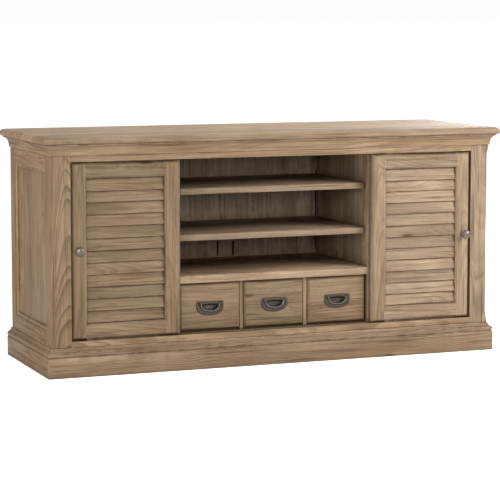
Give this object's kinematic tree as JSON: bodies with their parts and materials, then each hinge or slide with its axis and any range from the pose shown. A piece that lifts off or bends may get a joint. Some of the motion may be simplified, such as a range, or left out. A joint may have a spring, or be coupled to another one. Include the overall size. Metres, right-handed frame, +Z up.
{
  "type": "tv stand with doors",
  "caption": "Weathered oak media console with sliding louvred doors, open shelves and small drawers with campaign pulls.",
  "frame": {"origin": "middle of the footprint, on the floor", "axes": "+X along the length towards the viewer's right when facing the doors, +Y towards the back (the doors face -Y), +Z up"},
  "size_m": [1.704, 0.584, 0.812],
  "materials": {
    "weathered_oak": "weathered grey-brown, waxed matt",
    "inner_wood": "darker stain, matt",
    "aged_pewter": "dark aged pewter, satin",
    "track_steel": "dull steel"
  },
  "bodies": {
    "case": {"back_panel": "inner_wood", "base_back": "inner_wood", "base_front": "weathered_oak", "base_left": "weathered_oak", "base_right": "weathered_oak", "cabinet_floor": "inner_wood", "crown_back": "weathered_oak", "crown_front": "weathered_oak", "crown_left": "weathered_oak", "crown_right": "weathered_oak", "door_bottom_track": "track_steel", "door_top_track": "track_steel", "drawer_deck": "weathered_oak", "face_bottom_rail": "weathered_oak", "face_top_rail": "weathered_oak", "left_bay_shelf": "inner_wood", "left_drawer_divider": "weathered_oak", "left_front_post": "weathered_oak", "left_partition": "inner_wood", "left_rear_post": "weathered_oak", "left_side_bottom_rail": "weathered_oak", "left_side_panel": "weathered_oak", "left_side_top_rail": "weathered_oak", "lower_shelf": "weathered_oak", "rear_bottom_rail": "inner_wood", "rear_top_rail": "inner_wood", "right_bay_shelf": "inner_wood", "right_drawer_divider": "weathered_oak", "right_front_post": "weathered_oak", "right_partition": "inner_wood", "right_rear_post": "weathered_oak", "right_side_bottom_rail": "weathered_oak", "right_side_panel": "weathered_oak", "right_side_top_rail": "weathered_oak", "top_board": "weathered_oak", "upper_shelf": "weathered_oak"},
    "centre_drawer": {"centre_drawer_box": "inner_wood", "centre_drawer_front": "weathered_oak", "centre_pull_plate": "aged_pewter"},
    "centre_bail": {"centre_pull_bail": "aged_pewter"},
    "left_door": {"left_door_bottom_rail": "weathered_oak", "left_door_inner_stile": "weathered_oak", "left_door_knob": "aged_pewter", "left_door_louvres": "weathered_oak", "left_door_outer_stile": "weathered_oak", "left_door_top_rail": "weathered_oak"},
    "left_drawer": {"left_drawer_box": "inner_wood", "left_drawer_front": "weathered_oak", "left_pull_plate": "aged_pewter"},
    "left_bail": {"left_pull_bail": "aged_pewter"},
    "right_door": {"right_door_bottom_rail": "weathered_oak", "right_door_inner_stile": "weathered_oak", "right_door_knob": "aged_pewter", "right_door_louvres": "weathered_oak", "right_door_outer_stile": "weathered_oak", "right_door_top_rail": "weathered_oak"},
    "right_drawer": {"right_drawer_box": "inner_wood", "right_drawer_front": "weathered_oak", "right_pull_plate": "aged_pewter"},
    "right_bail": {"right_pull_bail": "aged_pewter"}
  },
  "joints": [
    {"name": "left_door_slide", "type": "slide", "parent": "case", "child": "left_door", "axis": [-1, 0, 0], "range_m": [-0.3565, 0]},
    {"name": "right_door_slide", "type": "slide", "parent": "case", "child": "right_door", "axis": [1, 0, 0], "range_m": [-0.3565, 0]},
    {"name": "left_drawer_slide", "type": "slide", "parent": "case", "child": "left_drawer", "axis": [0, -1, 0], "range_m": [0, 0.3]},
    {"name": "centre_drawer_slide", "type": "slide", "parent": "case", "child": "centre_drawer", "axis": [0, -1, 0], "range_m": [0, 0.3]},
    {"name": "right_drawer_slide", "type": "slide", "parent": "case", "child": "right_drawer", "axis": [0, -1, 0], "range_m": [0, 0.3]},
    {"name": "left_bail_swing", "type": "hinge", "parent": "left_drawer", "child": "left_bail", "pos_m": [-0.24067, -0.2248, 0.2188], "axis": [-1, 0, 0], "range_deg": [0, 88]},
    {"name": "centre_bail_swing", "type": "hinge", "parent": "centre_drawer", "child": "centre_bail", "pos_m": [0, -0.2248, 0.2188], "axis": [-1, 0, 0], "range_deg": [0, 88]},
    {"name": "right_bail_swing", "type": "hinge", "parent": "right_drawer", "child": "right_bail", "pos_m": [0.24067, -0.2248, 0.2188], "axis": [-1, 0, 0], "range_deg": [0, 88]}
  ]
}
